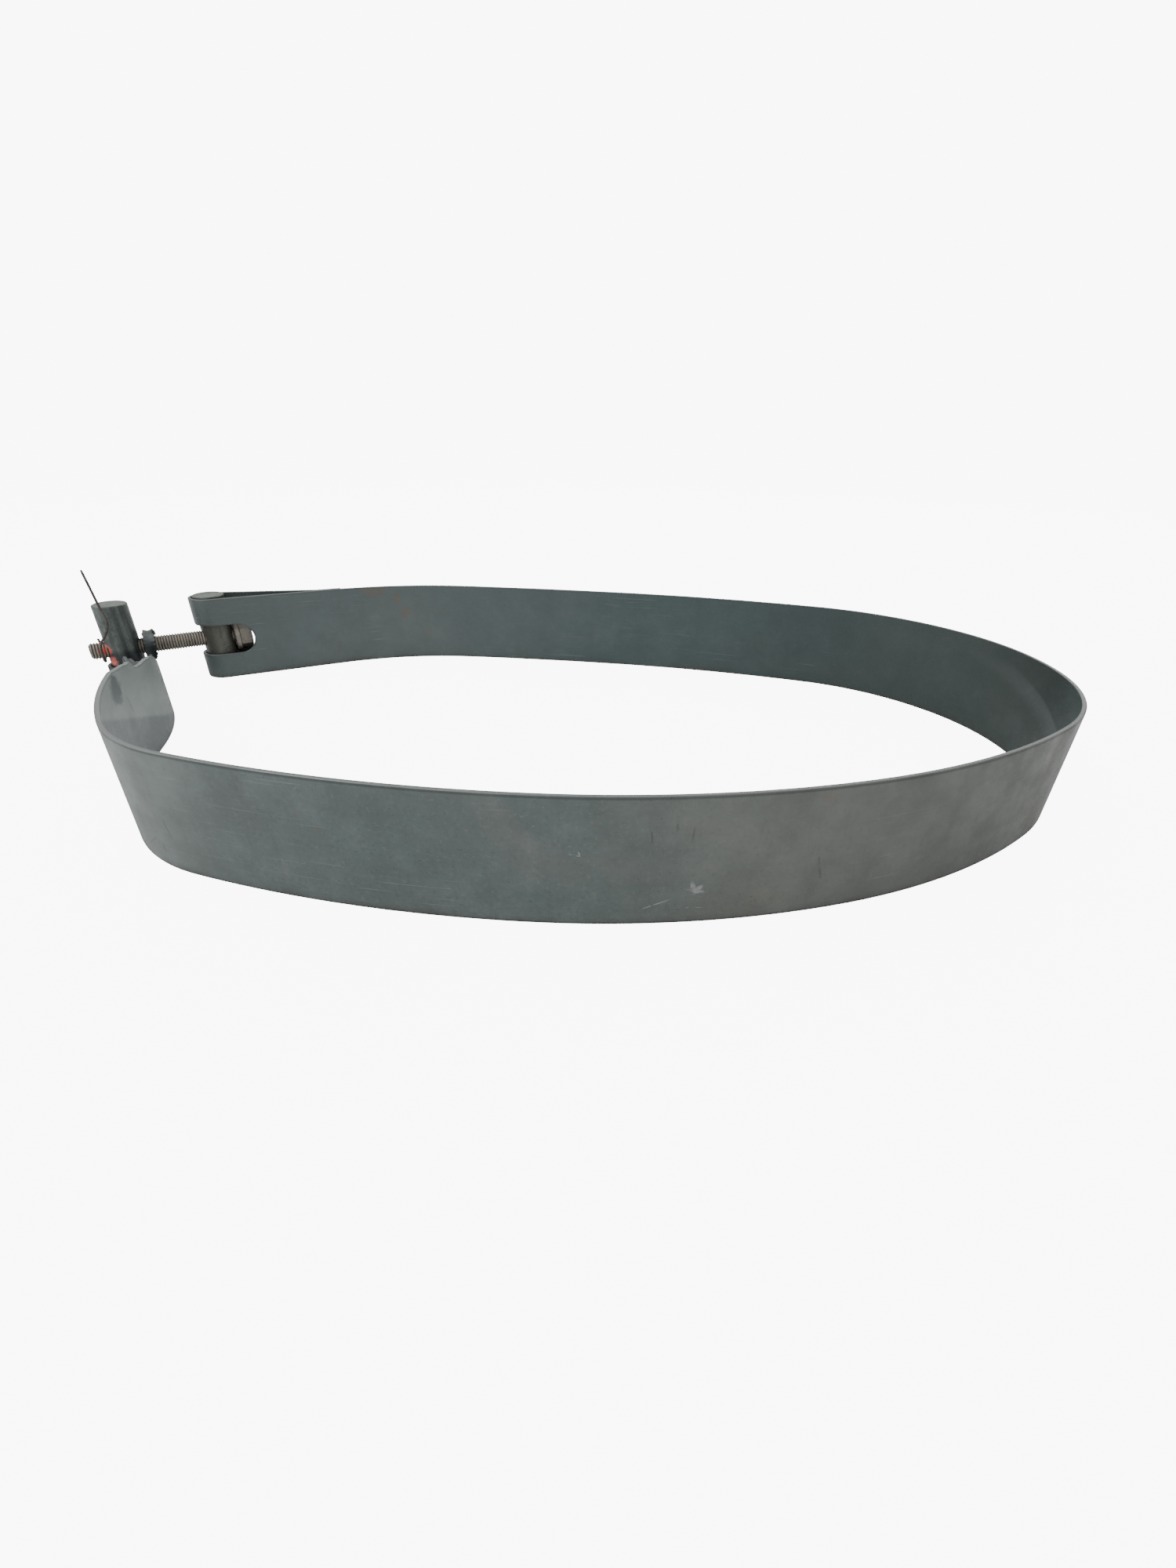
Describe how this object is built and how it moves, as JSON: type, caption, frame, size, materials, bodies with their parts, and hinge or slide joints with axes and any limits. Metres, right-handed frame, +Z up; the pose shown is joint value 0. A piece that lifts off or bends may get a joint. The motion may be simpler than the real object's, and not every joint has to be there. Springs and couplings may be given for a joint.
{
  "type": "pipe repair clamp",
  "caption": "Band clamp for a large pipe: a flat steel strap ring with slotted looped ends on round barrels, drawn together by one bolt.",
  "frame": {"origin": "on the floor, under the middle of the clamp's bounding box", "axes": "+X along the oval ring's length, away from the bolt; +Y from the plain front side to the rear side; +Z up, along the strap's width and the barrels"},
  "size_m": [0.5248, 0.2828, 0.0721],
  "materials": {
    "strap_steel": "dull dark blue-grey steel with faint rust stains",
    "barrel_steel": "dull dark steel bar with grey sawn ends",
    "bolt_steel": "brown-grey steel, lightly rusted thread",
    "wire_steel": "dull dark wire"
  },
  "bodies": {
    "strap": {"strap_rear_run": "strap_steel"},
    "strap_left_end": {"strap_left_run": "strap_steel"},
    "right_barrel": {"clearance_barrel": "barrel_steel", "head_washer": "bolt_steel"},
    "left_barrel": {"tapped_barrel": "barrel_steel", "tie_wire": "wire_steel"},
    "bolt": {"closing_bolt": "bolt_steel"}
  },
  "joints": [
    {"name": "strap_flex", "type": "hinge", "parent": "strap", "child": "strap_left_end", "pos_m": [-0.08705, -0.12372, 0], "axis": [0, 0, -1], "range_deg": [-2.2, 4.6]},
    {"name": "right_barrel_pivot", "type": "hinge", "parent": "strap", "child": "right_barrel", "pos_m": [-0.20309, 0.09535, 0.0245], "axis": [0, 0, -1], "range_deg": [-1.2, 2.3]},
    {"name": "left_barrel_pivot", "type": "hinge", "parent": "strap_left_end", "child": "left_barrel", "pos_m": [-0.24559, 0.06686, 0.0245], "axis": [0, 0, -1], "range_deg": [-2.3, 1.2]},
    {"name": "bolt_turn", "type": "hinge", "parent": "right_barrel", "child": "bolt", "pos_m": [-0.20309, 0.09535, 0.0245], "axis": [-0.8307, -0.5568, 0], "range_deg": [-1890, 4500]}
  ],
  "couplings": [
    {"joint": "strap_flex", "follows": "bolt_turn", "ratio": 0.00096819},
    {"joint": "right_barrel_pivot", "follows": "bolt_turn", "ratio": 0.0004841},
    {"joint": "left_barrel_pivot", "follows": "bolt_turn", "ratio": -0.0004841}
  ]
}
